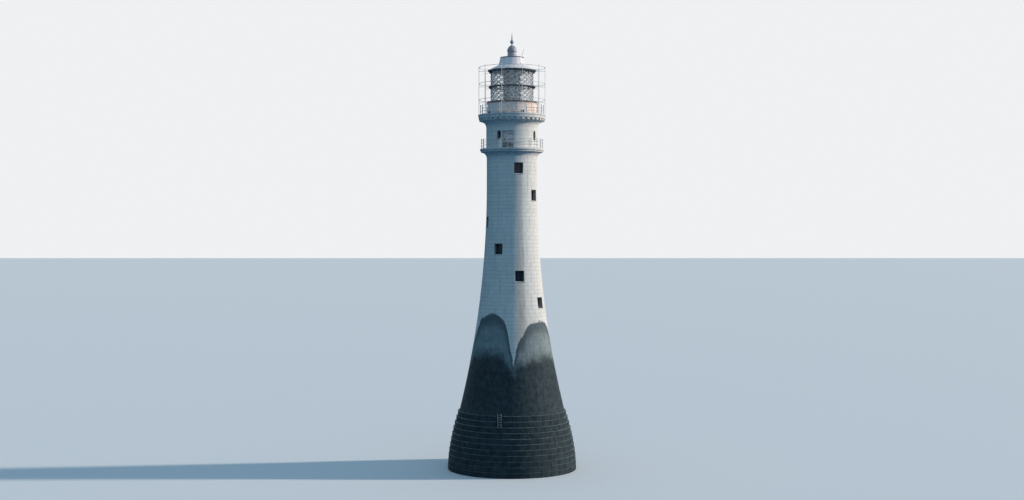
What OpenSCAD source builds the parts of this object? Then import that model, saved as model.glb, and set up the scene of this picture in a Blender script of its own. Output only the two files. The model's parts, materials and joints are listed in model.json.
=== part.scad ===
// Granite rock lighthouse with a stepped foot, a curved shaft, two stone galleries
// and a two-tier lantern, built at half its real size.
// The axis of the tower is Z, and the origin is the centre of the foot's underside.
// Azimuths are in degrees, counted from -Y towards +X.

/* [Stepped foot] */
// Radius of the lowest course
base_r = 3975; // [3700:25:4200]
// Number of stepped courses
base_courses = 11; // [9:1:13]
// Height of one stepped course
base_course_h = 330; // [300:5:340]
// How strongly the ledges widen towards the top
base_curve = 1.7; // [1.2:0.1:2.2]

/* [Shaft] */
// Radius where the shaft is slimmest
waist_r = 1560; // [1540:5:1580]
// Height at which the shaft becomes upright
waist_z = 17500; // [17200:50:17800]
// Radius of the arc that the shaft's side follows
sweep_r = 57800; // [55000:200:60000]
// Floor level of the entrance storey
entrance_z = 9710; // [9600:10:9740]
// Height from floor to floor
storey_h = 1650; // [1640:5:1655]
// Radius of the entrance room
room_r = 1000; // [950:10:1020]
// How much wider each room is than the one below it
room_step = 15; // [5:1:18]
// Thickness of a stone floor
floor_t = 150; // [120:10:180]
// How far a floor is let into the wall
floor_seat = 110; // [80:10:120]

/* [Windows and doors] */
// Width of a shaft window
window_w = 575; // [480:5:600]
// Depth from the wall's face to a window frame
reveal = 240; // [180:10:260]
// Width of the members of a window frame
frame_w = 45; // [35:1:60]
// Thickness of a window frame
frame_t = 60; // [40:2:80]
// Thickness of the glass
pane_t = 10; // [6:1:14]
// Width of a service room window
slit_w = 250; // [200:5:280]
// Height of a service room window
slit_h = 560; // [500:10:580]
// Width of the gallery doorway
gallery_door_w = 680; // [560:10:720]
// Azimuth of the gallery doorway
gallery_door_az = -9; // [-15:1:15]
// Width of the entrance doorway
entrance_door_w = 500; // [440:10:560]

/* [Galleries] */
// Level of the lower gallery
lower_deck_z = 19800; // [19760:10:19840]
// Radius of the lower gallery
lower_deck_r = 1975; // [1900:5:2000]
// Level of the upper gallery
upper_deck_z = 21900; // [21860:10:21940]
// Radius of the upper gallery
upper_deck_r = 2100; // [2050:5:2120]
// Height of the upper cornice
upper_cornice_h = 560; // [520:10:580]
// Outer radius of the service room
neck_r = 1590; // [1580:1:1600]
// Number of corbels under the upper gallery
corbels = 36; // [24:2:40]
// Height of the railings
railing_h = 600; // [550:10:650]
// Number of railing posts
railing_posts = 24; // [18:1:28]

/* [Lantern] */
// Outer radius of the lantern's foot wall
murette_r = 1550; // [1500:5:1560]
// Height of the lantern's foot wall
murette_h = 750; // [700:10:780]
// Radius of the glazing
lantern_r = 1330; // [1300:5:1340]
// Height of one tier of glazing
tier_h = 905; // [880:5:920]
// Height of the rings below, between and above the tiers
ring_h = 60; // [50:2:70]
// Diamonds round the glazing
diamonds = 18; // [12:1:20]
// Rows of whole diamonds in a tier
diamond_rows = 3; // [2:1:3]
// Width of the glazing bars
bar_w = 34; // [28:1:40]
// Radius of the service ring between the tiers
service_ring_r = 1460; // [1420:5:1480]

/* [Roof] */
// Radius of the eaves
eave_r = 1470; // [1450:5:1490]
// Rise of the roof skirt
skirt_h = 330; // [280:5:360]
// Radius at the foot of the roof drum
drum_r = 840; // [800:5:860]
// Radius at the head of the roof drum
drum_top_r = 715; // [680:5:730]
// Height of the roof drum
drum_h = 470; // [440:5:480]
// Radius of the ventilator
vent_r = 275; // [250:5:300]
// Height of the ventilator's upright side
vent_h = 350; // [300:5:380]
// Height of the ventilator's hood
hood_h = 400; // [340:5:420]
// Radius of the ball
ball_r = 120; // [100:5:130]
// Height of the whole model
total_h = 27000; // [26900:10:27100]

/* [Staging] */
// Number of staging poles
staging_poles = 10; // [8:1:12]
// Radius of the ring that the poles stand on
staging_r = 2050; // [2000:5:2055]
// Radius of a staging tube
tube_r = 13; // [11:1:16]
// Height of one lift of the staging
lift_h = 1000; // [980:5:1010]

/* [Optic] */
// Radius of the lens drums
lens_r = 545; // [500:5:550]
// Gap between the turning optic and its pedestal
optic_gap = 6; // [5:1:10]

/* [Hidden] */

$fn = 96;

granite = [0.80, 0.79, 0.75];
wet_granite = [0.42, 0.40, 0.37];
pale_paint = [0.90, 0.90, 0.88];
dark_metal = [0.20, 0.25, 0.27];
dark_glass = [0.16, 0.20, 0.23];
rust_paint = [0.80, 0.66, 0.56];

// Levels, from the foot up.
base_h = base_courses * base_course_h;
storeys = 6;
storey_courses = 7;
function floor_z(i) = entrance_z + i * storey_h;
function room_radius(i) = room_r + i * room_step;
course_h = storey_h / storey_courses;
window_h = 3 * course_h;
window_rise = 2.5 * course_h;
entrance_door_h = 4 * course_h;
lower_deck_t = 150;
lower_cornice_z = floor_z(storeys - 1) + 5 * course_h;
lower_cornice_h = lower_deck_z - lower_deck_t - lower_cornice_z;
upper_deck_t = 250;
upper_cornice_z = upper_deck_z - upper_deck_t - upper_cornice_h;
service_room_r = room_radius(storeys);
neck_course_h = (upper_cornice_z - lower_deck_z) / 5;
gallery_door_h = 4 * neck_course_h;
murette_t = 250;
sill_z = upper_deck_z + murette_h;
lower_tier_z = sill_z + ring_h;
middle_ring_z = lower_tier_z + tier_h;
upper_tier_z = middle_ring_z + ring_h;
eaves_z = upper_tier_z + tier_h;
roof_z = eaves_z + ring_h;
drum_z = roof_z + skirt_h;
cover_z = drum_z + drum_h;
cover_t = 45;
vent_z = cover_z + cover_t;
ball_z = total_h - 560;
shell_t = 25;
bar_t = 40;
bar_foot = 30;
sill_lip = 25;
glass_r = lantern_r - bar_t;
post_r = 13;
rail_r = 9;
window_turn = 45;
first_window_az = 240;

// Outer radius of the masonry at height z: upright over the waist, an arc below it.
function shaft_r(z) = z >= waist_z ? waist_r
    : waist_r + sweep_r - sqrt(sweep_r * sweep_r - (waist_z - z) * (waist_z - z));

// Azimuth of the first of the two windows of storey i, counted from the entrance storey.
function window_az(i) = first_window_az - i * window_turn;

// Points of the shaft's side between two heights.
function side_points(z0, z1, steps) =
    [for (k = [0:steps]) let (z = z0 + (z1 - z0) * k / steps) [shaft_r(z), z]];

// Points of an arc in the plane of the profile.
function arc_points(cx, cy, r, a0, a1, steps) =
    [for (k = [0:steps]) let (a = a0 + (a1 - a0) * k / steps) [cx + r * cos(a), cy + r * sin(a)]];

// A ring with a rectangular section.
module ring(outer_r, inner_r, z, h) {
    rotate_extrude()
        translate([inner_r, z])
            square([outer_r - inner_r, h]);
}

// Places its children at a radius on an azimuth, with their own -Y facing outwards.
module at(az, r, z) {
    translate([0, 0, z])
        rotate([0, 0, az])
            translate([0, -r, 0])
                children();
}

// A block that stands on z = 0, centred in X, and runs inwards from y = 0.
module block(w, depth, h) {
    translate([-w / 2, 0, 0])
        cube([w, depth, h]);
}

// The same with a round head.
module arched_block(w, depth, h) {
    rotate([90, 0, 0])
        translate([0, 0, -depth])
            linear_extrude(depth) {
                translate([-w / 2, 0])
                    square([w, h - w / 2]);
                translate([0, h - w / 2])
                    circle(r = w / 2, $fn = 48);
            }
}

// Foot of the tower: each course stands a little back from the one below it. A notch for
// the landing ladder is cut through the two top courses.
function base_course_r(i) =
    base_r - (base_r - shaft_r(base_h)) * pow(i / base_courses, base_curve);

notch_az = -13;
notch_w = 400;
notch_z = base_h - 2 * base_course_h;
notch_back = round(shaft_r(base_h)) + 40;

module stepped_base() {
    steps = [for (i = [0:base_courses - 1], k = [0:1]) [base_course_r(i), (i + k) * base_course_h]];
    color(wet_granite)
        difference() {
            rotate_extrude($fn = 180)
                polygon(concat([[0, 0]], steps, [[0, base_h]]));
            at(notch_az, base_r, notch_z)
                block(notch_w, base_r - notch_back, base_h);
        }
}

// The shaft between two heights, without any room in it.
module shaft_mass(z0, z1) {
    rotate_extrude($fn = 180)
        polygon(concat([[0, z0]], side_points(z0, z1, 12), [[0, z1]]));
}

module solid_shaft() {
    color(granite)
        shaft_mass(base_h, entrance_z);
}

// One storey's wall, with its two windows and the ledge that carries the next floor.
module storey_wall(i, top_z) {
    ledge_r = room_radius(i) + floor_seat;
    window_z = floor_z(i) + window_rise - window_h / 2;
    difference() {
        rotate_extrude($fn = 180)
            difference() {
                polygon(concat([[room_radius(i), floor_z(i)]], side_points(floor_z(i), top_z, 3),
                    [[room_radius(i), top_z]]));
                if (i < storeys - 1)
                    translate([0, top_z - floor_t])
                        square([ledge_r, floor_t]);
            }
        for (turn = [0, 180])
            at(window_az(i) + turn, base_r, window_z)
                block(window_w, base_r, window_h);
    }
}

module entrance_storey_wall() {
    color(granite)
        difference() {
            storey_wall(0, floor_z(1));
            at(180, base_r, floor_z(0))
                block(entrance_door_w, base_r, entrance_door_h);
        }
}

module storey_2_wall() { color(granite) storey_wall(1, floor_z(2)); }
module storey_3_wall() { color(granite) storey_wall(2, floor_z(3)); }
module storey_4_wall() { color(granite) storey_wall(3, floor_z(4)); }
module storey_5_wall() { color(granite) storey_wall(4, floor_z(5)); }
module storey_6_wall() { color(granite) storey_wall(5, lower_cornice_z); }

// A stone floor, let into the ledge of the wall that carries it.
module stone_floor(r, z, t) {
    translate([0, 0, z - t])
        cylinder(r = r, h = t);
}

module storey_floors() {
    color(granite)
        for (i = [1:storeys - 1])
            stone_floor(room_radius(i - 1) + floor_seat, floor_z(i), floor_t);
}

// Lower gallery: a hollow-curved cornice under a thin deck.
module lower_gallery_cornice() {
    foot_r = shaft_r(lower_cornice_z);
    reach = lower_deck_r - 60 - foot_r;
    rise = lower_cornice_h - 120;
    curve = [for (k = [0:8]) let (a = 90 * k / 8)
        [foot_r + reach * (1 - cos(a)), lower_cornice_z + 60 + rise * sin(a)]];
    color(granite)
        rotate_extrude()
            polygon(concat([[room_radius(5), lower_cornice_z], [foot_r, lower_cornice_z]], curve,
                [[foot_r + reach, lower_cornice_z + lower_cornice_h],
                 [room_radius(5), lower_cornice_z + lower_cornice_h]]));
}

module lower_gallery_deck() {
    seat_r = service_room_r + floor_seat;
    foot_z = lower_deck_z - lower_deck_t;
    nose = 45;
    color(granite)
        rotate_extrude()
            polygon([[seat_r, foot_z], [lower_deck_r - nose, foot_z], [lower_deck_r, foot_z + nose],
                [lower_deck_r, lower_deck_z], [seat_r, lower_deck_z]]);
}

module service_room_floor() {
    color(granite)
        stone_floor(service_room_r + floor_seat, lower_deck_z, lower_deck_t);
}

// Service room, between the galleries, with four slim windows and the gallery doorway.
slit_azimuths = [-30, 60, 150, 240];
slit_z = lower_deck_z + 2 * neck_course_h;

module service_room_wall() {
    color(granite)
        difference() {
            ring(neck_r, service_room_r, lower_deck_z, upper_cornice_z - lower_deck_z);
            for (az = slit_azimuths)
                at(az, base_r, slit_z)
                    arched_block(slit_w, base_r, slit_h);
            at(gallery_door_az, base_r, lower_deck_z)
                block(gallery_door_w, base_r, gallery_door_h);
        }
}

// Upper gallery: a hollow-curved cornice with a row of corbels under a deep deck. The corbels
// are what the gaps leave of a band round the cornice's head.
corbel_h = 130;
corbel_reach = 100;

module upper_gallery_cornice() {
    head_r = upper_deck_r - 170;
    head_z = upper_cornice_z + upper_cornice_h;
    reach = head_r - neck_r;
    rise = upper_cornice_h - corbel_h - 30;
    pitch = 360 / corbels;
    lip = 5;
    curve = [for (k = [0:8]) let (a = 90 * k / 8)
        [neck_r + reach * (1 - cos(a)), upper_cornice_z + rise * sin(a)]];
    color(granite)
        difference() {
            rotate_extrude()
                polygon(concat([[service_room_r, upper_cornice_z]], curve,
                    [[head_r, head_z - corbel_h], [head_r + corbel_reach, head_z - corbel_h],
                     [head_r + corbel_reach, head_z], [service_room_r, head_z]]));
            for (k = [0:corbels - 1])
                rotate([0, 0, (k + 0.25) * pitch])
                    rotate_extrude(angle = pitch / 2)
                        translate([head_r + lip, head_z - corbel_h - 10])
                            square([corbel_reach, corbel_h + 20]);
        }
}

module upper_gallery_deck() {
    seat_r = service_room_r + floor_seat;
    nose = 70;
    color(granite)
        rotate_extrude()
            polygon([[seat_r, upper_deck_z - upper_deck_t], [upper_deck_r - nose / 2, upper_deck_z - upper_deck_t],
                [upper_deck_r - nose / 2, upper_deck_z - nose], [upper_deck_r, upper_deck_z - nose],
                [upper_deck_r, upper_deck_z], [seat_r, upper_deck_z]]);
}

module lantern_floor() {
    color(granite)
        stone_floor(service_room_r + floor_seat, upper_deck_z, upper_deck_t);
}

// A rectangular frame, outer face at y = 0, standing on z = 0.
module window_frame(w, h) {
    difference() {
        block(w, frame_t, h);
        translate([0, -1, frame_w])
            block(w - 2 * frame_w, frame_t + 2, h - 2 * frame_w);
    }
}

module shaft_windows() {
    for (i = [0:storeys - 1], turn = [0, 180]) {
        centre_z = floor_z(i) + window_rise;
        at(window_az(i) + turn, shaft_r(centre_z) - reveal, centre_z - window_h / 2)
            children();
    }
}

module service_windows() {
    for (az = slit_azimuths)
        at(az, neck_r - reveal / 2, slit_z)
            children();
}

module window_frames() {
    color(dark_metal) {
        shaft_windows()
            window_frame(window_w, window_h);
        service_windows()
            difference() {
                arched_block(slit_w, frame_t, slit_h);
                translate([0, -1, frame_w])
                    arched_block(slit_w - 2 * frame_w, frame_t + 2, slit_h - 2 * frame_w);
            }
    }
}

// The glass fills each opening, and the frame is bedded against its face.
module window_panes() {
    color(dark_glass) {
        shaft_windows()
            translate([0, frame_t, 0])
                block(window_w, pane_t, window_h);
        service_windows()
            translate([0, frame_t, 0])
                arched_block(slit_w, pane_t, slit_h);
    }
}

door_t = 50;

// A door with panels sunk between stiles and rails. It stands a little over its sill.
module panelled_door(w, h, rows, columns) {
    stile = 0.12 * w;
    sunk = 12;
    clearance = 4;
    panel_w = (w - (columns + 1) * stile) / columns;
    panel_h = (h - clearance - (rows + 1) * stile) / rows;
    translate([0, 0, clearance])
        difference() {
            block(w, door_t, h - clearance);
            for (c = [0:columns - 1], k = [0:rows - 1])
                translate([stile + c * (panel_w + stile) - w / 2, -1, stile + k * (panel_h + stile)])
                    cube([panel_w, sunk + 1, panel_h]);
        }
}

module entrance_door() {
    color(dark_metal)
        at(180, shaft_r(entrance_z) - reveal, entrance_z)
            panelled_door(entrance_door_w, entrance_door_h, 3, 2);
}

module gallery_door() {
    color(pale_paint)
        at(gallery_door_az, neck_r - reveal / 2, lower_deck_z)
            panelled_door(gallery_door_w, gallery_door_h, 2, 2);
}

lantern_door_w = 360;
lantern_door_h = 640;

module lantern_door() {
    color(pale_paint)
        at(180, murette_r - reveal / 2, upper_deck_z)
            panelled_door(lantern_door_w, lantern_door_h, 2, 1);
}

// Ways up to the entrance: a short ladder in the landing notch, and rungs up the shaft.
rung_r = 12;

module landing_ladder() {
    stile_gap = 220;
    stile_w = 30;
    stile_t = 45;
    ladder_h = 2 * base_course_h + 140;
    rungs = 5;
    color(dark_metal)
        at(notch_az, notch_back + stile_t, notch_z) {
            for (side = [-1, 1])
                translate([side * stile_gap / 2 - stile_w / 2, 0, 0])
                    cube([stile_w, stile_t, ladder_h]);
            for (k = [1:rungs])
                translate([-stile_gap / 2, stile_t / 2, k * ladder_h / (rungs + 0.5)])
                    rotate([0, 90, 0])
                        cylinder(r = rung_r, h = stile_gap, $fn = 24);
        }
}

// Each rung is a staple whose legs end in the face of the shaft.
module entrance_rungs() {
    rung_w = 260;
    rung_step = 170;
    stand_off = 90;
    color(dark_metal)
        difference() {
            for (z = [base_h + rung_step:rung_step:entrance_z - rung_step / 2])
                at(180, shaft_r(z) + stand_off, z) {
                    translate([-rung_w / 2 - rung_r, 0, 0])
                        rotate([0, 90, 0])
                            cylinder(r = rung_r, h = rung_w + 2 * rung_r, $fn = 24);
                    for (side = [-1, 1])
                        translate([side * rung_w / 2, 0, 0])
                            rotate([-90, 0, 0])
                                cylinder(r = rung_r, h = 2 * stand_off, $fn = 24);
                }
            shaft_mass(base_h, entrance_z);
        }
}

// A round railing: ball-headed stanchions on the deck, and three rails clipped inside them.
module stanchions(r, z) {
    ball = 21;
    for (k = [0:railing_posts - 1])
        at((k + 0.5) * 360 / railing_posts, r, z) {
            cylinder(r = post_r, h = railing_h, $fn = 24);
            translate([0, 0, railing_h])
                sphere(r = ball, $fn = 24);
        }
}

// A round tube of eight flats, lying level.
module hoop(r, tube, z) {
    rotate_extrude()
        translate([r, z])
            circle(r = tube, $fn = 8);
}

module rails(r, z) {
    for (share = [0.32, 0.62, 0.92])
        hoop(r - post_r - rail_r, rail_r, z + share * railing_h);
}

lower_railing_r = lower_deck_r - 60;
upper_railing_r = staging_r - 75;

module lower_gallery_stanchions() { color(pale_paint) stanchions(lower_railing_r, lower_deck_z); }
module lower_gallery_rails() { color(pale_paint) rails(lower_railing_r, lower_deck_z); }
module upper_gallery_stanchions() { color(pale_paint) stanchions(upper_railing_r, upper_deck_z); }
module upper_gallery_rails() { color(pale_paint) rails(upper_railing_r, upper_deck_z); }

// The lantern's foot wall, with a plinth and a head moulding.
module lantern_foot_wall() {
    plinth_h = 70;
    panel_r = murette_r - 15;
    color(rust_paint)
        difference() {
            rotate_extrude()
                polygon([[murette_r - murette_t, upper_deck_z], [murette_r, upper_deck_z],
                    [murette_r, upper_deck_z + plinth_h], [panel_r, upper_deck_z + plinth_h + 15],
                    [panel_r, sill_z - 45], [murette_r, sill_z - 30], [murette_r, sill_z],
                    [murette_r - murette_t, sill_z]]);
            at(180, base_r, upper_deck_z)
                block(lantern_door_w, base_r, lantern_door_h);
        }
}

module lantern_sill_ring() {
    color(dark_metal)
        ring(murette_r + sill_lip, glass_r - bar_foot, sill_z, ring_h);
}

// One tier of glazing: a thin cylinder pierced by rows of diamonds, half ones at its edges.
module glazing_bars(z) {
    step = 360 / diamonds;
    cell_w = 2 * lantern_r * sin(step / 2);
    cell_h = (tier_h - 2 * bar_w) / diamond_rows;
    slant = sqrt(cell_w * cell_w + cell_h * cell_h);
    hole_w = cell_w - bar_w * slant / cell_h;
    hole_h = cell_h - bar_w * slant / cell_w;
    difference() {
        ring(lantern_r, glass_r, z, tier_h);
        for (row = [1:2 * diamond_rows - 1], k = [0:diamonds - 1])
            at((k + (row % 2) / 2) * step, lantern_r + bar_t, z + bar_w + row * cell_h / 2)
                rotate([90, 0, 0])
                    translate([0, 0, -3 * bar_t])
                        linear_extrude(3 * bar_t)
                            polygon([[hole_w / 2, 0], [0, hole_h / 2], [-hole_w / 2, 0], [0, -hole_h / 2]]);
        for (k = [0:diamonds - 1], upper = [0, 1])
            at((k + (upper * diamond_rows * 2 % 2) / 2) * step, lantern_r + bar_t,
                z + bar_w + upper * diamond_rows * cell_h)
                rotate([90, 0, 0])
                    translate([0, 0, -3 * bar_t])
                        linear_extrude(3 * bar_t)
                            polygon([[hole_w / 2, 0], [0, (upper == 1 ? -1 : 1) * hole_h / 2], [-hole_w / 2, 0]]);
    }
}

module lower_glazing_bars() { color(dark_metal) glazing_bars(lower_tier_z); }
module upper_glazing_bars() { color(dark_metal) glazing_bars(upper_tier_z); }
module lower_glazing_glass() { color(dark_glass) ring(glass_r, glass_r - pane_t, lower_tier_z, tier_h); }
module upper_glazing_glass() { color(dark_glass) ring(glass_r, glass_r - pane_t, upper_tier_z, tier_h); }

// A ring over a tier of glazing, bevelled under its outer edge.
module lipped_ring(r, z) {
    lip = 25;
    rotate_extrude()
        polygon([[glass_r - bar_foot, z], [r - lip, z], [r, z + lip], [r, z + ring_h],
            [glass_r - bar_foot, z + ring_h]]);
}

module middle_service_ring() {
    color(dark_metal)
        lipped_ring(service_ring_r, middle_ring_z);
}

module eaves_ring() {
    color(dark_metal)
        lipped_ring(eave_r, eaves_z);
}

// Roof skirt: a shallow shell that bellies a little between the eaves and the drum.
module roof_skirt() {
    belly = 45;
    function skirt_points(drop) = [for (k = [0:8]) let (t = k / 8)
        [eave_r + t * (drum_r - shell_t - eave_r), roof_z + t * skirt_h + belly * sin(180 * t) - drop]];
    color(pale_paint)
        rotate_extrude()
            difference() {
                polygon(concat([[drum_r - shell_t, roof_z]], skirt_points(0)));
                polygon(concat([[0, roof_z - 1], [eave_r - 2 * shell_t, roof_z - 1]],
                    [for (p = skirt_points(shell_t)) [p[0] - shell_t / 2, p[1]]], [[0, drum_z - shell_t]]));
            }
}

module roof_drum() {
    color(pale_paint)
        rotate_extrude()
            polygon([[drum_r, drum_z], [drum_top_r, cover_z], [drum_top_r - shell_t, cover_z],
                [drum_r - 2 * shell_t, drum_z]]);
}

module roof_cover_plate() {
    color(dark_metal)
        translate([0, 0, cover_z])
            cylinder(r = drum_top_r + 20, h = cover_t);
}

// A whip rod at the edge of the cover plate, bending outwards as it rises.
module roof_rod() {
    rod_r = 8;
    foot_r = 620;
    bend_r = 1100;
    bend = 28;
    color(dark_metal)
        translate([foot_r + bend_r, 0, vent_z])
            mirror([1, 0, 0])
                rotate([90, 0, 0])
                    rotate_extrude(angle = bend)
                        translate([bend_r, 0])
                            circle(r = rod_r, $fn = 24);
}

// Ventilator: a drum with a sunk air slot under the rim of a domed hood, all of sheet metal.
module ventilator() {
    slot_h = 70;
    slot_depth = 45;
    rim = 20;
    sheet = 12;
    neck = 60;
    top_z = vent_z + vent_h + hood_h;
    dome_turn = 80;
    dome = [for (k = [0:8]) let (a = dome_turn * k / 8)
        [(vent_r + rim) * cos(a), vent_z + vent_h + hood_h * sin(a) / sin(dome_turn)]];
    color(pale_paint)
        rotate_extrude()
            difference() {
                polygon(concat([[0, vent_z], [vent_r, vent_z], [vent_r, vent_z + vent_h - slot_h - rim],
                    [vent_r - slot_depth, vent_z + vent_h - slot_h - rim],
                    [vent_r - slot_depth, vent_z + vent_h - rim], [vent_r + rim, vent_z + vent_h - rim]],
                    dome, [[0, top_z]]));
                polygon([[0, vent_z + sheet], [vent_r - slot_depth - sheet, vent_z + sheet],
                    [vent_r - slot_depth - sheet, vent_z + vent_h + hood_h / 2],
                    [neck, top_z - 3 * sheet], [0, top_z - 3 * sheet]]);
            }
}

// Finial: a stem with a collar, a ball and a tapering spike.
module finial() {
    stem_z = vent_z + vent_h + hood_h;
    stem_r = 36;
    collar_r = 48;
    color(dark_metal) {
        translate([0, 0, stem_z])
            cylinder(r = collar_r, h = 25);
        translate([0, 0, stem_z])
            cylinder(r = stem_r, h = ball_z - stem_z);
        translate([0, 0, ball_z])
            sphere(r = ball_r, $fn = 48);
        translate([0, 0, ball_z])
            cylinder(r1 = 60, r2 = 10, h = total_h - ball_z);
    }
}

// Optic: a fixed pedestal, and over it a turntable that carries two drums of prisms.
pedestal_r = 300;
table_z = sill_z - 40;
table_t = 70;
table_r = lens_r + 40;

module optic_pedestal() {
    head_z = table_z - optic_gap;
    color(dark_metal)
        rotate_extrude()
            polygon([[0, upper_deck_z], [pedestal_r + 60, upper_deck_z], [pedestal_r + 60, upper_deck_z + 40],
                [pedestal_r - 40, upper_deck_z + 90], [pedestal_r - 40, head_z - 110],
                [pedestal_r, head_z - 60], [pedestal_r, head_z], [0, head_z]]);
}

module optic_turntable() {
    uprights = 8;
    bar_w = 26;
    bar_t = 28;
    head_t = 60;
    head_z = eaves_z - table_t;
    color(dark_metal) {
        translate([0, 0, table_z])
            cylinder(r = table_r, h = table_t);
        translate([0, 0, middle_ring_z])
            cylinder(r = table_r, h = ring_h);
        translate([0, 0, head_z])
            cylinder(r = table_r, h = head_t);
        translate([0, 0, table_z])
            cylinder(r = pedestal_r / 5, h = head_z - table_z);
        for (k = [0:uprights - 1])
            at((k + 0.5) * 360 / uprights, lens_r + 12, table_z)
                block(bar_w, bar_t, head_z - table_z);
    }
}

// A drum of prisms that lean towards its middle, where they meet a bulging belt.
module lens(z0, z1) {
    prisms = 13;
    middle = 6;
    step = (z1 - z0) / prisms;
    thin_r = lens_r - 48;
    thick_r = lens_r - 20;
    belt = [for (k = [0:6]) [thin_r + (thick_r - thin_r) * sin(30 * k), z0 + (middle + k / 6) * step]];
    below = [for (k = [0:middle - 1]) each [[thin_r, z0 + k * step], [thick_r, z0 + (k + 1) * step]]];
    above = [for (k = [middle + 1:prisms - 1]) each [[thick_r, z0 + k * step], [thin_r, z0 + (k + 1) * step]]];
    rotate_extrude()
        polygon(concat([[lens_r - 100, z0]], below, belt, above, [[lens_r - 100, z1]]));
}

module lower_lens() { color(dark_glass) lens(table_z + table_t, middle_ring_z); }
module upper_lens() { color(dark_glass) lens(upper_tier_z, eaves_z - table_t); }

// Tube staging round the lantern: poles on the deck, three hoops inside them, and ties from
// each pole to the lantern's rings.
tie_tube_r = 10;
hoop_drop = 60;

module staging_poles() {
    color(pale_paint)
        for (k = [0:staging_poles - 1])
            at(90 + k * 360 / staging_poles, staging_r, upper_deck_z)
                cylinder(r = tube_r, h = 3 * lift_h, $fn = 24);
}

module staging_rails() {
    color(pale_paint)
        for (lift = [1:3])
            hoop(staging_r - 2 * tube_r, tube_r, upper_deck_z + lift * lift_h - hoop_drop);
}

module staging_ties() {
    holds = [[sill_z + ring_h / 2, murette_r + sill_lip], [middle_ring_z + 2 * ring_h / 3, service_ring_r],
        [eaves_z + 2 * ring_h / 3, eave_r]];
    color(pale_paint)
        difference() {
            for (hold = holds, k = [0:staging_poles - 1])
                at(90 + k * 360 / staging_poles, staging_r, hold[0])
                    rotate([-90, 0, 0])
                        cylinder(r = tie_tube_r, h = staging_r - hold[1], $fn = 24);
            for (k = [0:staging_poles - 1])
                at(90 + k * 360 / staging_poles, staging_r, upper_deck_z)
                    cylinder(r = tube_r, h = 3 * lift_h, $fn = 24);
        }
}

stepped_base();
solid_shaft();
entrance_storey_wall();
storey_2_wall();
storey_3_wall();
storey_4_wall();
storey_5_wall();
storey_6_wall();
storey_floors();
lower_gallery_cornice();
lower_gallery_deck();
service_room_floor();
service_room_wall();
upper_gallery_cornice();
upper_gallery_deck();
lantern_floor();
window_frames();
window_panes();
entrance_door();
gallery_door();
lantern_door();
landing_ladder();
entrance_rungs();
lower_gallery_stanchions();
lower_gallery_rails();
upper_gallery_stanchions();
upper_gallery_rails();
lantern_foot_wall();
lantern_sill_ring();
lower_glazing_bars();
lower_glazing_glass();
middle_service_ring();
upper_glazing_bars();
upper_glazing_glass();
eaves_ring();
roof_skirt();
roof_drum();
roof_cover_plate();
roof_rod();
ventilator();
finial();
optic_pedestal();
optic_turntable();
lower_lens();
upper_lens();
staging_poles();
staging_rails();
staging_ties();
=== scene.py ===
import bpy
import bmesh
import json
import math
import random
from mathutils import Matrix, Vector

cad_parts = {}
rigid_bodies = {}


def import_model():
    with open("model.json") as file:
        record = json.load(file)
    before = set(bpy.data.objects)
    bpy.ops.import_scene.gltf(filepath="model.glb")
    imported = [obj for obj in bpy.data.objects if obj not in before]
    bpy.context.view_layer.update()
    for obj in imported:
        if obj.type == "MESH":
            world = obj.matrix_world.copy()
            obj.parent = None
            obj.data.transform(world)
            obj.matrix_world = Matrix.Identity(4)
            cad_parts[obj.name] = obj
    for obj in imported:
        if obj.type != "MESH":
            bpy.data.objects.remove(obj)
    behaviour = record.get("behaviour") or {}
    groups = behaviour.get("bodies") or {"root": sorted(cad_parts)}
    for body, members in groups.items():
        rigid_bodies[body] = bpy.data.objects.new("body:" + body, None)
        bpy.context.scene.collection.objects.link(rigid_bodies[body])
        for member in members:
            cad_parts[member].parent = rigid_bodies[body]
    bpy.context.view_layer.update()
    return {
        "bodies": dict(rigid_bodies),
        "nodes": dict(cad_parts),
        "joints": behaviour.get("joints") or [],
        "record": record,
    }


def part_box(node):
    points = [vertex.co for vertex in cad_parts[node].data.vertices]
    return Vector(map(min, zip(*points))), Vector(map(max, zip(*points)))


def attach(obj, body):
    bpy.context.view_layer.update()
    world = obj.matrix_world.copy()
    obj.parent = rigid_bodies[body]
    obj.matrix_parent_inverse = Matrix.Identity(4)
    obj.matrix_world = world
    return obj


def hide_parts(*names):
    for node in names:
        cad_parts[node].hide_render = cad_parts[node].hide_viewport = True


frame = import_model()
nodes = frame["nodes"]
boxes = {name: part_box(name) for name in nodes}  # the lowest and the highest corner of each
random.seed(11)
print("frame loaded:", len(nodes), "nodes")

# Azimuths are in degrees from -Y, the side that the picture shows, towards +X.


# Finishes

class Wire:  # one output of a node, with the operators that the finishes are written with
    def __init__(self, owner, socket):
        self.owner = owner
        self.socket = socket

    def math(self, operation, *others):
        return self.owner.node("ShaderNodeMath", {"operation": operation}, [self, *others])

    def __add__(self, other):
        return self.math("ADD", other)

    def __sub__(self, other):
        return self.math("SUBTRACT", other)

    def __mul__(self, other):
        return self.math("MULTIPLY", other)

    def __truediv__(self, other):
        return self.math("DIVIDE", other)

    def __pow__(self, other):
        return self.math("POWER", other)

    def __rsub__(self, other):
        return self.owner.node("ShaderNodeMath", {"operation": "SUBTRACT"}, [other, self])

    __radd__ = __add__
    __rmul__ = __mul__

    def between(self, low, high):  # 0 below low, 1 above high, smooth in between
        return self.owner.node("ShaderNodeMapRange", {"interpolation_type": "SMOOTHSTEP"},
                               {0: self, 1: low, 2: high})


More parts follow.
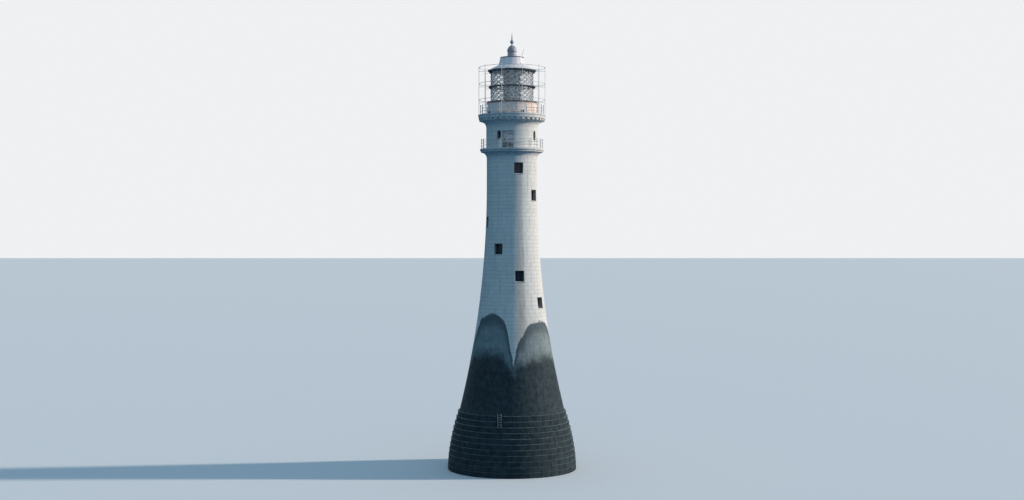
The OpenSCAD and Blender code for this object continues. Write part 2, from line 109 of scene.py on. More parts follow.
class Nodes:  # the nodes of a material or of the world
    def __init__(self, user):
        user.use_nodes = True
        self.tree = user.node_tree
        self.tree.nodes.clear()

    def feed(self, socket, value):
        if isinstance(value, Wire):
            self.tree.links.new(value.socket, socket)
        else:
            socket.default_value = (*value, 1) if socket.type == "RGBA" else value

    def node(self, kind, settings=None, sockets=None, output=0):
        made = self.tree.nodes.new(kind)
        for key, value in (settings or {}).items():
            setattr(made, key, value)
        pairs = sockets.items() if isinstance(sockets, dict) else enumerate(sockets or [])
        for key, value in pairs:
            self.feed(made.inputs[key], value)
        return Wire(self, made.outputs[output])

    def ray(self, kind):  # 1 for one kind of light ray, such as those that the camera sees
        return self.node("ShaderNodeLightPath", output=kind)


class Finish(Nodes):  # one material: its shader and the place on the piece
    def __init__(self, name):
        self.material = bpy.data.materials.new(name)
        super().__init__(self.material)
        self.shader = self.tree.nodes.new("ShaderNodeBsdfPrincipled")
        self.output = self.tree.nodes.new("ShaderNodeOutputMaterial")
        self.tree.links.new(self.shader.outputs[0], self.output.inputs[0])
        self.place = self.node("ShaderNodeTexCoord", output="Object")
        self.x, self.y, self.z = [self.node("ShaderNodeSeparateXYZ", sockets=[self.place], output=axis)
                                  for axis in range(3)]

    def mix(self, factor, a, b):
        return self.node("ShaderNodeMix", {"data_type": "RGBA"}, {0: factor, 6: a, 7: b}, 2)

    def noise(self, scale, detail, stretch=(1, 1, 1)):
        place = self.node("ShaderNodeVectorMath", {"operation": "MULTIPLY"}, [self.place, stretch])
        return self.node("ShaderNodeTexNoise", None,
                         {"Vector": place, "Scale": scale, "Detail": detail, "Roughness": 0.55})

    def azimuth(self):  # degrees from -Y towards +X
        return self.x.math("ARCTAN2", self.y * -1) * (180 / math.pi)

    def upward(self):  # 1 on faces that look up, 0 on upright ones
        normal = self.node("ShaderNodeNewGeometry", output="Normal")
        return self.node("ShaderNodeSeparateXYZ", sockets=[normal], output=2)

    def set(self, colour, roughness, metallic=0.0, bump=None, distance=0.0012, **fixed):
        values = {"Base Color": colour, "Roughness": roughness, "Metallic": metallic}
        if bump is not None:
            values["Normal"] = self.node("ShaderNodeBump", None,
                                         {"Strength": 1.0, "Distance": distance, "Height": bump})
        for key, value in fixed.items():
            values[key.replace("_", " ")] = value
        for key, value in values.items():
            self.feed(self.shader.inputs[key], value)
        return self.material


growth = {
    # tide marks round the tower: azimuth of the middle, half width in degrees, height of the top
    "arches": [(-34, 37, 9.65), (-44, 40, 9.5), (-108, 30, 9.0), (22, 20, 8.3), (51, 48, 9.15),
               (134, 41, 9.5), (206, 36, 8.8)],
    "lowest": 6.35,  # where two arches meet
    "innerLowest": 6.0,
    "innerShare": 0.42,  # how high the inner arches are in proportion to the outer ones
    "roundness": 3.4,
    "edge": 0.07,
}


def growthMasks(f):  # the outer and the inner band of sea growth, and the outer band's rim
    swing = f.noise(0.55, 2) * 12 - 6
    ragged = f.noise(2.2, 5) * 0.9 - 0.45
    degrees = f.azimuth() + swing
    top = degrees * 0
    for middle, half, height in growth["arches"]:
        away = (degrees - middle).math("PINGPONG", 180) / half
        top = top.math("MAXIMUM", (1 - away ** growth["roundness"]) * (height - growth["lowest"]))
    depth = top + growth["lowest"] + ragged * 0.5 - f.z
    innerDepth = top * growth["innerShare"] + growth["innerLowest"] + ragged - f.z
    outer = depth.between(-growth["edge"], growth["edge"])
    inner = innerDepth.between(-6 * growth["edge"], 8 * growth["edge"])
    rim = outer * (1 - depth.between(0.25, 1.1))
    return outer, inner, rim


shades = {  # of the granite, its stains, the growth that the sea leaves on it, and painted shade and light laid over them
    "light": (0.87, 0.845, 0.795), "dark": (0.755, 0.735, 0.69),
    "behindLight": (0.40, 0.39, 0.36), "behindDark": (0.30, 0.29, 0.27),
    "floorLight": (0.66, 0.65, 0.61), "floorDark": (0.54, 0.53, 0.50),
    "speckle": (0.34, 0.335, 0.33), "grain": (0.90, 0.885, 0.85), "streak": (0.43, 0.425, 0.395),
    "dampAndShade": (0.24, 0.33, 0.36), "stainAndShadeLow": (0.46, 0.39, 0.27), "terminatorShade": (0.40, 0.405, 0.40),
    "growth": (0.175, 0.225, 0.235), "growthPale": (0.29, 0.345, 0.35), "growthRim": (0.075, 0.107, 0.12),
    "deep": (0.021, 0.034, 0.042), "deepPale": (0.041, 0.059, 0.067), "deepRuns": (0.075, 0.10, 0.108),
    "ledge": (0.32, 0.42, 0.42),
}
weather = {  # each pair says where a change begins and where it is complete
    "stainShadeFrom": (4, 13), "stainShadeTo": (20, 27),  # azimuths at which the brown stain and painted terminator shade down the shaft come and go
    "stainShadeTop": (17.6, 18.8),
    "stainShadeGrey": (11.5, 14),  # heights over which it turns from the brown stain to grey painted shade
    "litSide": (0.1, 1.4),  # towards +X, the sunlit side, the damp stain and painted shade under the galleries are weaker
    "ledgesTop": (3.7, 3.9),
}


def graniteFinish(name, light, dark, stones=False, growing=True):
    f = Finish(name)
    speckle = f.noise(70, 2)
    grain = f.noise(16, 4)
    patches = f.noise(0.55, 4)
    streaks = f.noise(1.0, 4, (5, 5, 0.25)).between(0.5, 0.74)
    tone = patches.between(0.35, 0.68)
    if stones:
        own = f.node("ShaderNodeAttribute", {"attribute_name": "stoneTone"}, output=2)
        tone = own * 0.55 + tone * 0.45
    colour = f.mix(tone, light, dark)
    colour = f.mix(speckle.between(0.56, 0.66) * 0.35, colour, shades["speckle"])
    colour = f.mix(grain.between(0.5, 0.72) * 0.22, colour, shades["grain"])
    colour = f.mix(streaks * 0.32, colour, shades["streak"])
    upright = 1 - f.upward().math("ABSOLUTE")
    edges = 0
    for deck in ("lower_gallery_deck", "upper_gallery_deck"):
        bottom, top = [corner.z for corner in boxes[deck]]
        edges = edges + f.z.between(bottom - 0.02, bottom) * (1 - f.z.between(top, top + 0.004))
    # Faces that look down and the upright deck edges are darkened: partly a damp stain, partly painted shade
    # under the overhangs, kept weaker on the sunlit +X side.
    dampAndShade = (f.upward() * -1).between(0.02, 0.55).math("MAXIMUM", edges * upright.between(0.5, 0.9) * 0.8)
    dampAndShade = dampAndShade * (1 - 0.6 * f.x.between(*weather["litSide"]))
    colour = f.mix(dampAndShade * (0.16 + 0.3 * streaks), colour, shades["dampAndShade"])
    # A band down the shaft, just short of the sunlit side, is darkened: partly a brown stain low down, and
    # otherwise painted shade of the terminator, grey higher up.
    azimuth = f.azimuth() + f.noise(0.8, 3) * 6 - 3
    stainShadeMask = azimuth.between(*weather["stainShadeFrom"]) * (1 - azimuth.between(*weather["stainShadeTo"]))
    stainShadeMask = stainShadeMask * (1 - f.z.between(*weather["stainShadeTop"]))
    stainShadeColour = f.mix(f.z.between(*weather["stainShadeGrey"]), shades["stainAndShadeLow"], shades["terminatorShade"])
    colour = f.mix(stainShadeMask * (0.42 + streaks * 0.25), colour, stainShadeColour)
    roughness = 0.82
    if growing:
        outer, inner, rim = growthMasks(f)
        blotches = f.noise(3.2, 5).between(0.38, 0.62)
        runs = f.noise(1.0, 4, (9, 9, 0.5)).between(0.42, 0.68)
        mid = f.mix(blotches * 0.45 + runs * 0.55, shades["growth"], shades["growthPale"])
        mid = f.mix(rim * 0.9, mid, shades["growthRim"])
        deep = f.mix(blotches, shades["deep"], shades["deepPale"])
        deep = f.mix(runs * 0.25, deep, shades["deepRuns"])
        colour = f.mix(outer * 0.94, colour, mid)
        colour = f.mix(inner * 0.97, colour, deep)
        # The up-facing ledges of the stepped foot are painted lighter, in patches: painted light on their
        # tops.
        worn = f.noise(1.7, 4).between(0.3, 0.65)
        ledge = f.upward().between(0.6, 0.95) * (1 - f.z.between(*weather["ledgesTop"]))
        colour = f.mix(ledge * (0.35 + 0.6 * worn), colour, shades["ledge"])
        roughness = 0.84 - inner * 0.2
    bump = grain * 0.6 + speckle * 0.3 + patches * 0.6
    return f.set(colour, roughness, bump=bump, distance=0.004, Specular_IOR_Level=0.05)


graniteStones = graniteFinish("graniteStones", shades["light"], shades["dark"], stones=True)
graniteBehind = graniteFinish("graniteBehind", shades["behindLight"], shades["behindDark"])
graniteFloor = graniteFinish("graniteFloor", shades["floorLight"], shades["floorDark"],
                             growing=False)


def metalFinish(name, colour, worn, wear, roughness, metallic=0.0, streakColour=None, streak=0.0):
    f = Finish(name)
    grime = f.noise(3.0, 5).between(0.42, 0.68)
    fine = f.noise(40, 3)
    made = f.mix(grime * wear, colour, worn)
    if streakColour:
        runs = f.noise(1.0, 5, (14, 14, 0.8)).between(0.52, 0.7)
        made = f.mix(runs * streak, made, streakColour)
    return f.set(made, fine * 0.12 + (roughness - 0.06) + grime * 0.1, metallic, bump=fine)


lanternPaint = metalFinish("lanternPaint", (0.09, 0.10, 0.11), (0.22, 0.13, 0.09), 0.45, 0.45)
barPaint = metalFinish("barPaint", (0.72, 0.74, 0.76), (0.50, 0.43, 0.37), 0.35, 0.42)
platePaint = metalFinish("platePaint", (0.10, 0.11, 0.125), (0.17, 0.13, 0.10), 0.4, 0.45)
finialPaint = metalFinish("finialPaint", (0.50, 0.50, 0.53), (0.36, 0.33, 0.31), 0.35, 0.4)
railPaint = metalFinish("railPaint", (0.66, 0.67, 0.66), (0.42, 0.38, 0.34), 0.35, 0.42)
roofPaint = metalFinish("roofPaint", (0.92, 0.87, 0.88), (0.79, 0.74, 0.74), 0.35, 0.5,
                        streakColour=(0.60, 0.55, 0.51), streak=0.22)
hoodPaint = metalFinish("hoodPaint", (0.40, 0.40, 0.44), (0.28, 0.27, 0.28), 0.4, 0.5,
                        streakColour=(0.26, 0.23, 0.22), streak=0.3)
stagingSteel = metalFinish("stagingSteel", (0.64, 0.65, 0.66), (0.46, 0.42, 0.38), 0.4, 0.42, 0.35)
doorPaint = metalFinish("doorPaint", (0.42, 0.38, 0.38), (0.26, 0.20, 0.185), 0.45, 0.5,
                        streakColour=(0.60, 0.44, 0.42), streak=0.5)
doorBronze = metalFinish("doorBronze", (0.24, 0.21, 0.15), (0.16, 0.26, 0.22), 0.5, 0.45, 0.7)
rungMetal = metalFinish("rungMetal", (0.36, 0.37, 0.35), (0.20, 0.27, 0.26), 0.5, 0.5, 0.35)
windowPaint = metalFinish("windowPaint", (0.05, 0.065, 0.08), (0.12, 0.115, 0.105), 0.3, 0.5)
opticMetal = metalFinish("opticMetal", (0.05, 0.055, 0.055), (0.13, 0.11, 0.07), 0.4, 0.48, 0.3)
opticBrass = metalFinish("opticBrass", (0.52, 0.41, 0.20), (0.30, 0.24, 0.13), 0.4, 0.3, 0.9)


def footWallFinish():  # pale paint over iron, stained by rust, most of all low down; the rust grows towards +X, where the warmer colour is partly painted warm sunlight
    f = Finish("footWallPaint")
    bottom, top = [corner.z for corner in boxes["lantern_foot_wall"]]
    share = (f.z - bottom) / (top - bottom)
    patches = f.noise(2.2, 5)
    runs = f.noise(1.0, 5, (6, 6, 0.7))
    # Rust and warmth grow towards +X: partly rust, partly painted warm sunlight on that side.
    rustAndWarmLight = f.x.between(-1.3, 0.5) * 0.8 + 0.2
    colour = f.mix(patches.between(0.35, 0.65) * rustAndWarmLight, (0.91, 0.84, 0.82), (0.90, 0.68, 0.57))
    colour = f.mix(runs.between(0.46, 0.68) * rustAndWarmLight * 0.65, colour, (0.72, 0.47, 0.35))
    foot = (1 - share).between(0.72, 0.98) * f.noise(6, 4).between(0.38, 0.56)
    colour = f.mix(foot * 0.9, colour, (0.16, 0.095, 0.075))
    head = share.between(0.84, 0.98) * f.noise(4, 4).between(0.25, 0.55)
    colour = f.mix(head * 0.85, colour, (0.26, 0.145, 0.11))
    return f.set(colour, 0.62, bump=patches + runs, distance=0.003)


def galleryDoorFinish():  # faded pinkish paint, lighter towards +X as painted grazing light, and dark over the foot as painted shadow of the railing in front, with some dirt
    f = Finish("galleryDoorPaint")
    corner, opposite = boxes["gallery_door"]
    litSideShare = f.x.between(corner.x, opposite.x)
    height = f.z.between(corner.z, opposite.z)
    patches = f.noise(3.0, 5).between(0.4, 0.65)
    runs = f.noise(1.0, 5, (14, 14, 0.8)).between(0.5, 0.7)
    # Painted grazing light: the door grows lighter and pinker towards +X.
    colour = f.mix(litSideShare, (0.56, 0.54, 0.55), (0.90, 0.76, 0.78))
    colour = f.mix(patches * 0.3 + runs * 0.25, colour, (0.50, 0.42, 0.41))
    # Painted shadow of the railing in front darkens the door's foot, with some dirt.
    foot = (1 - height).between(0.66, 0.84) * (0.65 + patches * 0.3)
    colour = f.mix(foot, colour, (0.085, 0.09, 0.10))
    return f.set(colour, 0.5 + patches * 0.12, bump=runs)


def glassFinish(name, colour, roughness, clear, salty, gloss=0.5):  # glass with dried salt in patches
    f = Finish(name)
    salt = f.noise(1.6, 5).between(0.4, 0.75)
    return f.set(f.mix(salt * salty, colour, (0.62, 0.66, 0.67)), roughness + salt * 0.15,
                 IOR=1.5, Specular_IOR_Level=gloss, Transmission_Weight=clear)


footWallPaint = footWallFinish()
galleryDoorPaint = galleryDoorFinish()
# The window panes are opaque and near black: painted shade of the rooms behind them.
shadedWindowGlass = glassFinish("shadedWindowGlass", (0.008, 0.030, 0.052), 0.06, 0.0, 0.03, 0.2)
lanternGlass = glassFinish("lanternGlass", (0.93, 0.96, 0.97), 0.0, 0.96, 0.25)
lensGlass = glassFinish("lensGlass", (0.60, 0.72, 0.79), 0.03, 0.45, 0.1)

storeyWalls = ["entrance_storey_wall", *["storey_%d_wall" % storey for storey in range(2, 7)]]
cadFinishes = {
    graniteBehind: ["stepped_base", "solid_shaft", *storeyWalls, "lower_gallery_cornice",
                    "lower_gallery_deck", "service_room_wall", "upper_gallery_cornice",
                    "upper_gallery_deck"],
    graniteFloor: ["storey_floors", "service_room_floor", "lantern_floor"],
    windowPaint: ["window_frames"],
    shadedWindowGlass: ["window_panes"],
    doorBronze: ["entrance_door"],
    rungMetal: ["landing_ladder", "entrance_rungs"],
    galleryDoorPaint: ["gallery_door"],
    doorPaint: ["lantern_door"],
    railPaint: ["lower_gallery_stanchions", "lower_gallery_rails", "upper_gallery_stanchions",
                "upper_gallery_rails"],
    stagingSteel: ["staging_poles", "staging_rails", "staging_ties"],
    footWallPaint: ["lantern_foot_wall"],
    lanternPaint: ["lantern_sill_ring", "middle_service_ring", "eaves_ring"],
    barPaint: ["lower_glazing_bars", "upper_glazing_bars"],
    platePaint: ["roof_cover_plate", "roof_rod"],
    finialPaint: ["finial"],
    lanternGlass: ["lower_glazing_glass", "upper_glazing_glass"],
    roofPaint: ["roof_skirt", "roof_drum"],
    hoodPaint: ["ventilator"],
    opticMetal: ["optic_pedestal", "optic_turntable"],
    lensGlass: ["lower_lens", "upper_lens"],
}
for finish, names in cadFinishes.items():
    for name in names:
        nodes[name].data.materials.clear()
        nodes[name].data.materials.append(finish)
print("finishes made")


# Shared modelling steps

smoothAngle = 32  # degrees between two faces up to which they are shaded as one


def addPiece(name, bm, finish, body="tower"):
    mesh = toMesh(bm, name)
    mesh.materials.append(finish)
    mesh.polygons.foreach_set("use_smooth", [True] * len(mesh.polygons))
    mesh.set_sharp_from_angle(angle=math.radians(smoothAngle))
    piece = bpy.data.objects.new(name, mesh)
    bpy.context.scene.collection.objects.link(piece)
    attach(piece, body)
    print(" ", name, len(mesh.polygons), "faces")
    return piece


def addStones(name, bm):
    addPiece(name, bm, graniteStones)


def toMesh(bm, name="template"):
    mesh = bpy.data.meshes.new(name)
    bm.to_mesh(mesh)
    bm.free()
    return mesh


def rotation(degrees, axis="Z"):
    return Matrix.Rotation(math.radians(degrees), 4, axis)


def turned(azimuth, radius=0.0, z=0.0, side=0.0):
    # Stands a shape on an azimuth, its own -Y facing outwards and its own X shifted to the side.
    return rotation(azimuth) @ Matrix.Translation((side, -radius, z))


def facing(azimuth, radius, z, side=0.0):  # the same for a lathed shape that lies with its axis outwards
    return turned(azimuth, radius, z, side) @ rotation(90, "X")


def around(count, first=0.0):  # azimuths of a row of like things
    return [first + k * 360 / count for k in range(count)]


def stamp(bm, mesh, place, tone=None):  # adds a copy of a mesh on its place, with one stone tone
    before = len(bm.verts)
    faces = len(bm.faces)
    bm.from_mesh(mesh)
    bm.verts.ensure_lookup_table()
    bmesh.ops.transform(bm, matrix=place, verts=bm.verts[before:])
    if tone is not None:
        layer = bm.faces.layers.float.get("stoneTone") or bm.faces.layers.float.new("stoneTone")
        bm.faces.ensure_lookup_table()
        for face in bm.faces[faces:]:
            face[layer] = tone


def block(width, depth, height):  # centred in x, with its outer face at y = 0, standing on z = 0
    bm = bmesh.new()
    place = Matrix.Translation((0, depth / 2, height / 2)) @ Matrix.Diagonal((width, depth, height, 1))
    bmesh.ops.create_cube(bm, size=1, matrix=place)
    return bm


def blockMesh(width, depth, height, rounding=0.0):
    bm = block(width, depth, height)
    if rounding:
        roundEdges(bm, bm.edges[:], rounding)
    return toMesh(bm)


def roundEdges(bm, edges, rounding):
    bmesh.ops.bevel(bm, geom=edges, offset=rounding, segments=1, profile=0.5, affect="EDGES", material=-1,
                    clamp_overlap=True)


def latheMesh(profile, steps):
    # A profile of (radius, height) turned round Z, closed at the axis or on itself.
    bm = bmesh.new()
    verts = [bm.verts.new((0, -r, z)) for r, z in profile]
    edges = [bm.edges.new(pair) for pair in zip(verts, verts[1:])]
    if profile[0][0] > 0:
        edges.append(bm.edges.new((verts[-1], verts[0])))
    bmesh.ops.spin(bm, geom=verts + edges, cent=(0, 0, 0), axis=(0, 0, 1), angle=2 * math.pi, steps=steps,
                   use_merge=True)
    bmesh.ops.remove_doubles(bm, verts=bm.verts, dist=0.00001)
    bmesh.ops.recalc_face_normals(bm, faces=bm.faces)
    return toMesh(bm)


def addRing(bm, profile, steps):  # a lathed ring round the tower's axis
    stamp(bm, latheMesh(profile, steps), Matrix())


def stampRow(bm, mesh, count, first=0.0, radius=0.0, z=0.0):  # copies of a mesh at even azimuths
    for azimuth in around(count, first):
        stamp(bm, mesh, turned(azimuth, radius, z))


def pushedMesh(points, way):  # a flat outline pushed along a vector to a closed block
    bm = bmesh.new()
    face = bm.faces.new([bm.verts.new(point) for point in points])
    pushed = bmesh.ops.extrude_face_region(bm, geom=[face])["geom"]
    bmesh.ops.translate(bm, vec=way, verts=[v for v in pushed if isinstance(v, bmesh.types.BMVert)])
    bmesh.ops.recalc_face_normals(bm, faces=bm.faces)
    return toMesh(bm)


def sector(profile, width, steps, rounding=0.0):
    # A closed block: a profile of (radius, height) swept over some degrees, its outer edges rounded.
    bm = bmesh.new()
    start = rotation(-width / 2)
    face = bm.faces.new([bm.verts.new(start @ Vector((0, -r, z))) for r, z in profile])
    bmesh.ops.spin(bm, geom=[face, *face.verts, *face.edges], cent=(0, 0, 0), axis=(0, 0, 1),
                   angle=math.radians(width), steps=steps, use_merge=False)
    bmesh.ops.recalc_face_normals(bm, faces=bm.faces)
    if rounding:
        inner = min(r for r, z in profile) + 0.001
        shown = [e for e in bm.edges if len(e.link_faces) == 2 and e.calc_face_angle() > math.radians(40)
                 and min(v.co.xy.length for v in e.verts) > inner]
        roundEdges(bm, shown, rounding)
    return toMesh(bm)


def strip(radius, bottom, top, inwards, outwards, splay=0.0):
    # A profile of (radius, height) that lies on a wall of this radius and may widen where it sinks in.
    return [(radius - inwards, bottom - splay), (radius + outwards, bottom), (radius + outwards, top),
            (radius - inwards, top + splay)]


def outline(*names):  # (height, radius) down the outside of turned nodes, from their own corners
    found = {}
    for name in names:
        for v in nodes[name].data.vertices:
            z = round(v.co.z, 4)
            found[z] = max(found.get(z, 0), v.co.xy.length)
    return sorted(found.items())


def low(name):
    return boxes[name][0].z


def high(name):
    return boxes[name][1].z


def radiusOn(sides, z):  # the radius at a height, between points of (height, radius)
    for (z0, r0), (z1, r1) in zip(sides, sides[1:]):
        if z0 <= z <= z1:
            return r0 + (r1 - r0) * (z - z0) / (z1 - z0)
    return sides[0][1] if z < sides[0][0] else sides[-1][1]


# Heights at which only a room's own corners lie are left out.
shaftOutline = [(z, r) for z, r in outline("solid_shaft", *storeyWalls) if r > 1.5]


def shaftRadius(z):
    return radiusOn(shaftOutline, z)


# Masonry

masonry = {
    "stone": 0.52,  # usual length of a stone
    "corniceStone": 0.46,
    "proud": 0.006,  # how far a stone's face stands over its joints
    "bed": 0.02,  # how far it is let into the wall
    "joint": 0.007,
    "arris": 0.006,
    "step": 4.0,  # degrees of curve that one flat of a stone may take
    "shaftCourses": 26,  # of the solid shaft
}


def spansBetween(gaps, radius, stagger):  # what openings (azimuth, width) leave of a course, in degrees
    if not gaps:
        return [(stagger, stagger + 360)]
    halves = sorted((az % 360, math.degrees(math.asin(width / 2 / radius))) for az, width in gaps)
    following = halves[1:] + [(halves[0][0] + 360, halves[0][1])]
    return [(az + half, nextAz - nextHalf) for (az, half), (nextAz, nextHalf) in zip(halves, following)]


def layRow(bm, profile, radius, gaps=(), stagger=0.0, stone=masonry["stone"], rounding=masonry["arris"]):
    # One row of stones, each a piece of the same profile of (radius, height).
    trim = math.degrees(masonry["joint"] / 2 / radius)
    for start, end in spansBetween(gaps, radius, stagger):
        count = max(1, round((end - start) / math.degrees(stone / radius)))
        width = (end - start) / count
        steps = max(2, math.ceil(width / masonry["step"]))
        template = sector(profile, width - 2 * trim, steps, rounding)
        for k in range(count):
            stamp(bm, template, turned(start + (k + 0.5) * width), random.random())
        bpy.data.meshes.remove(template)


def layCourses(name, z0, z1, count, radiusAt, openings=()):  # openings are (azimuth, width, bottom, top)
    bm = bmesh.new()
    height = (z1 - z0) / count
    gap = masonry["joint"] / 2
    for k in range(count):
        bottom = z0 + k * height
        top = bottom + height
        r0 = radiusAt(bottom)
        r1 = radiusAt(top)
        profile = [(r0 - masonry["bed"], bottom + gap), (r0 + masonry["proud"], bottom + gap),
                   (r1 + masonry["proud"], top - gap), (r1 - masonry["bed"], top - gap)]
        gaps = [(az, width) for az, width, sill, head in openings if sill < (bottom + top) / 2 < head]
        half = math.degrees(masonry["stone"] / r0) / 2
        layRow(bm, profile, r0, gaps, (k % 2) * half + k * 17)
    addStones(name, bm)


shaftLow = low("solid_shaft")
layCourses("shaft_stones", shaftLow, high("solid_shaft"), masonry["shaftCourses"], shaftRadius)

# first is the lowest window's azimuth and turn what each storey adds; sill and head are courses.
windows = {"width": 0.575, "first": 240, "turn": -45, "courses": 7, "sill": 1, "head": 4, "reveal": 0.24}
doors = {  # width is the opening's, and courses are its height in stones
    "entrance_door": {"azimuth": 180, "width": 0.5, "courses": 4, "hinges": (0.2, 0.5, 0.8),
                      "studded": True, "slot": "door_bronze"},
    "gallery_door": {"azimuth": -9, "width": 0.68, "courses": 4, "hinges": (0.18, 0.5, 0.82),
                     "slot": "door_paint"},
    "lantern_door": {"azimuth": 180, "width": 0.36, "hinges": (0.22, 0.78), "slot": "door_paint"},
}


def doorway(name, bottom, course):  # the opening that a door leaves in the courses
    return doors[name]["azimuth"], doors[name]["width"], bottom, bottom + doors[name]["courses"] * course


courseHeight = (high("storey_5_wall") - low("storey_5_wall")) / windows["courses"]
shaftWindows = []  # (azimuth, sill height, head height)
for i, name in enumerate(storeyWalls):
    bottom = low(name)
    count = round((high(name) - bottom) / courseHeight)
    sill = bottom + windows["sill"] * courseHeight
    head = bottom + windows["head"] * courseHeight
    pair = [(windows["first"] + i * windows["turn"] + turn, sill, head) for turn in (0, 180)]
    shaftWindows += pair
    openings = [(azimuth, windows["width"], sill, head) for azimuth, sill, head in pair]
    if i == 0:
        openings.append(doorway("entrance_door", bottom, courseHeight))
    layCourses(name.replace("wall", "stones"), bottom, high(name), count, shaftRadius, openings)

# The stepped foot: a plain core behind stones that end on the node's own faces and ledges.
foot = {"courses": 11, "notchAzimuth": -13, "notchWidth": 0.4, "notchBack": 3.289, "notchCourses": 2,
        "recess": 0.03, "stone": 0.62, "arris": 0.012, "overlap": 0.05}
footHeight = high("stepped_base") / foot["courses"]
footRadii = [r for z, r in outline("stepped_base") if z > 0.01]
notchFrom = foot["courses"] - foot["notchCourses"]
bm = bmesh.new()
core = [(0, 0)]
for i, radius in enumerate(footRadii):
    bottom = i * footHeight
    inNotch = i >= notchFrom
    behind = foot["notchBack"] - 0.004 if inNotch else radius - foot["recess"]
    following = footRadii[i + 1] if i + 1 < len(footRadii) else shaftRadius(shaftLow)
    inner = following - foot["overlap"]
    if i >= notchFrom - 1:
        inner = foot["notchBack"] - 0.02
    core += [(behind, max(0, bottom - foot["recess"])), (behind, bottom + footHeight - foot["recess"])]
    bed = bottom + masonry["joint"] / 2
    profile = [(inner, bed), (radius, bed), (radius, bottom + footHeight), (inner, bottom + footHeight)]
    gaps = [(foot["notchAzimuth"], foot["notchWidth"])] if inNotch else []
    layRow(bm, profile, radius, gaps, i * 23 + (i % 2) * 4.5, foot["stone"], foot["arris"])
addStones("base_stones", bm)
bm = bmesh.new()
addRing(bm, core + [(0, high("stepped_base") - foot["recess"])], 120)
footCore = addPiece("base_core", bm, graniteBehind)
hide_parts("stepped_base")

# The neck between the galleries, with arched heads over its slit windows.
neckLow = low("service_room_wall")
neckHigh = high("service_room_wall")
neckRadius = boxes["service_room_wall"][1].x
neck = {"courses": 5, "slits": [-30, 60, 150, 240], "slitWidth": 0.25, "slitHeight": 0.56, "slitCourse": 2,
        "archSteps": 14}
neckCourse = (neckHigh - neckLow) / neck["courses"]
slitLow = neckLow + neck["slitCourse"] * neckCourse
slitSpring = slitLow + neck["slitHeight"] - neck["slitWidth"] / 2
openings = [(azimuth, neck["slitWidth"], slitLow, neckHigh) for azimuth in neck["slits"]]
openings.append(doorway("gallery_door", neckLow, neckCourse))
layCourses("neck_stones", neckLow, neckHigh, neck["courses"], lambda z: neckRadius, openings)


def archedHead(width, height, depth, steps):  # a block over a round arch, standing on its springing
    corners = [(-width / 2, 0), (-width / 2, height), (width / 2, height)]
    arch = [(width / 2 * math.cos(math.pi * k / steps), width / 2 * math.sin(math.pi * k / steps))
            for k in range(steps)]
    return pushedMesh([(x, 0, z) for x, z in corners + arch], (0, depth, 0))


bm = bmesh.new()
slitHead = archedHead(neck["slitWidth"], neckHigh - slitSpring - 0.004, masonry["bed"] + masonry["proud"],
                      neck["archSteps"])
for azimuth in neck["slits"]:
    stamp(bm, slitHead, turned(azimuth, neckRadius + masonry["proud"], slitSpring), random.random())
addStones("slit_heads", bm)


def stonesOver(name, node, rows, first):
    # Rows of stones that follow the outside of a cornice between given heights.
    bm = bmesh.new()
    sides = [(z, r) for z, r in outline(node) if z < rows[-1][1] - 0.002]
    for number, (bottom, top) in enumerate(rows):
        lowEdge = bottom + masonry["joint"] / 2
        highEdge = top - masonry["joint"] / 2
        points = [(lowEdge, radiusOn(sides, lowEdge)), *[(z, r) for z, r in sides if lowEdge < z < highEdge],
                  (highEdge, radiusOn(sides, highEdge))]
        face = [(r + masonry["proud"], z) for z, r in points]
        back = min(r for r, z in face) - masonry["proud"] - masonry["bed"]
        layRow(bm, [(back, lowEdge), *face, (back, highEdge)], min(r for r, z in face), (),
               first + number * 6.3, masonry["corniceStone"])
    addStones(name, bm)


corbels = {"count": 36, "height": 0.13, "reach": 0.1, "stone": 0.337}
corbelFoot = high("upper_gallery_cornice") - corbels["height"]
for gallery, head, gap, first in (("lower", high("lower_gallery_cornice"), 0, 3),
                                  ("upper", corbelFoot, 0.001, 8)):
    node = gallery + "_gallery_cornice"
    middle = (low(node) + head) / 2
    stonesOver(gallery + "_cornice_stones", node, [(low(node), middle), (middle, head - gap)], first)

deckStones = {"length": 0.62, "proud": 0.006, "top": 0.003, "deep": 0.06, "thick": 0.02, "upperWall": 1.5}
for name, wall, stepped in (("lower_gallery_deck", neckRadius, False),
                            ("upper_gallery_deck", deckStones["upperWall"], True)):
    bm = bmesh.new()
    (footZ, footR), (noseZ, noseR) = [(z, r) for z, r in outline(name) if r > 1.8][:2]
    edge = noseR + deckStones["proud"]
    head = high(name) + deckStones["top"]
    back = footR - deckStones["deep"]
    inner = wall - deckStones["deep"]
    under = head - deckStones["thick"]
    profile = [(back, footZ + 0.002), (footR + deckStones["proud"], footZ + 0.002)]
    if stepped:
        profile.append((footR + deckStones["proud"], noseZ - 0.004))
    profile += [(edge, noseZ - 0.004), (edge, head), (inner, head), (inner, under), (back, under)]
    layRow(bm, profile, edge, (), 5, deckStones["length"])
    addStones(name + "_stones", bm)

